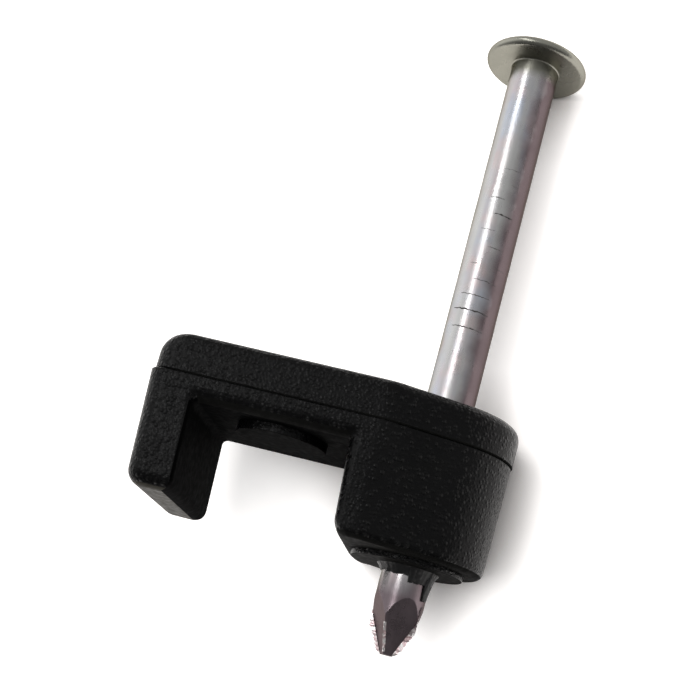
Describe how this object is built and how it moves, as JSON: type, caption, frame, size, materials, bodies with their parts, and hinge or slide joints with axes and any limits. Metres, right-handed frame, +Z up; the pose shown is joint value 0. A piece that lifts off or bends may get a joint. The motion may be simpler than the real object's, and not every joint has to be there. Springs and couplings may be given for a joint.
{
  "type": "nail-in cable clip",
  "caption": "Black moulded cable clip that straddles a flat cable, with a zinc-plated steel nail held part-way through its boss.",
  "frame": {"origin": "middle of the bounding box's foot, on the surface that the lying clip rests on", "axes": "+Y along the lying nail towards its head, +X from the clip's leg towards its boss, +Z up from the surface"},
  "size_m": [0.0148, 0.0259, 0.0103],
  "materials": {
    "black_plastic": "fine moulded texture",
    "plated_steel": "bright zinc plating"
  },
  "bodies": {
    "clip": {"clip_body": "black_plastic"},
    "nail": {"nail": "plated_steel"}
  },
  "joints": [
    {"name": "nail_drive", "type": "slide", "parent": "clip", "child": "nail", "axis": [0, -0.9983, 0.0575], "range_m": [0, 0.01508]}
  ]
}
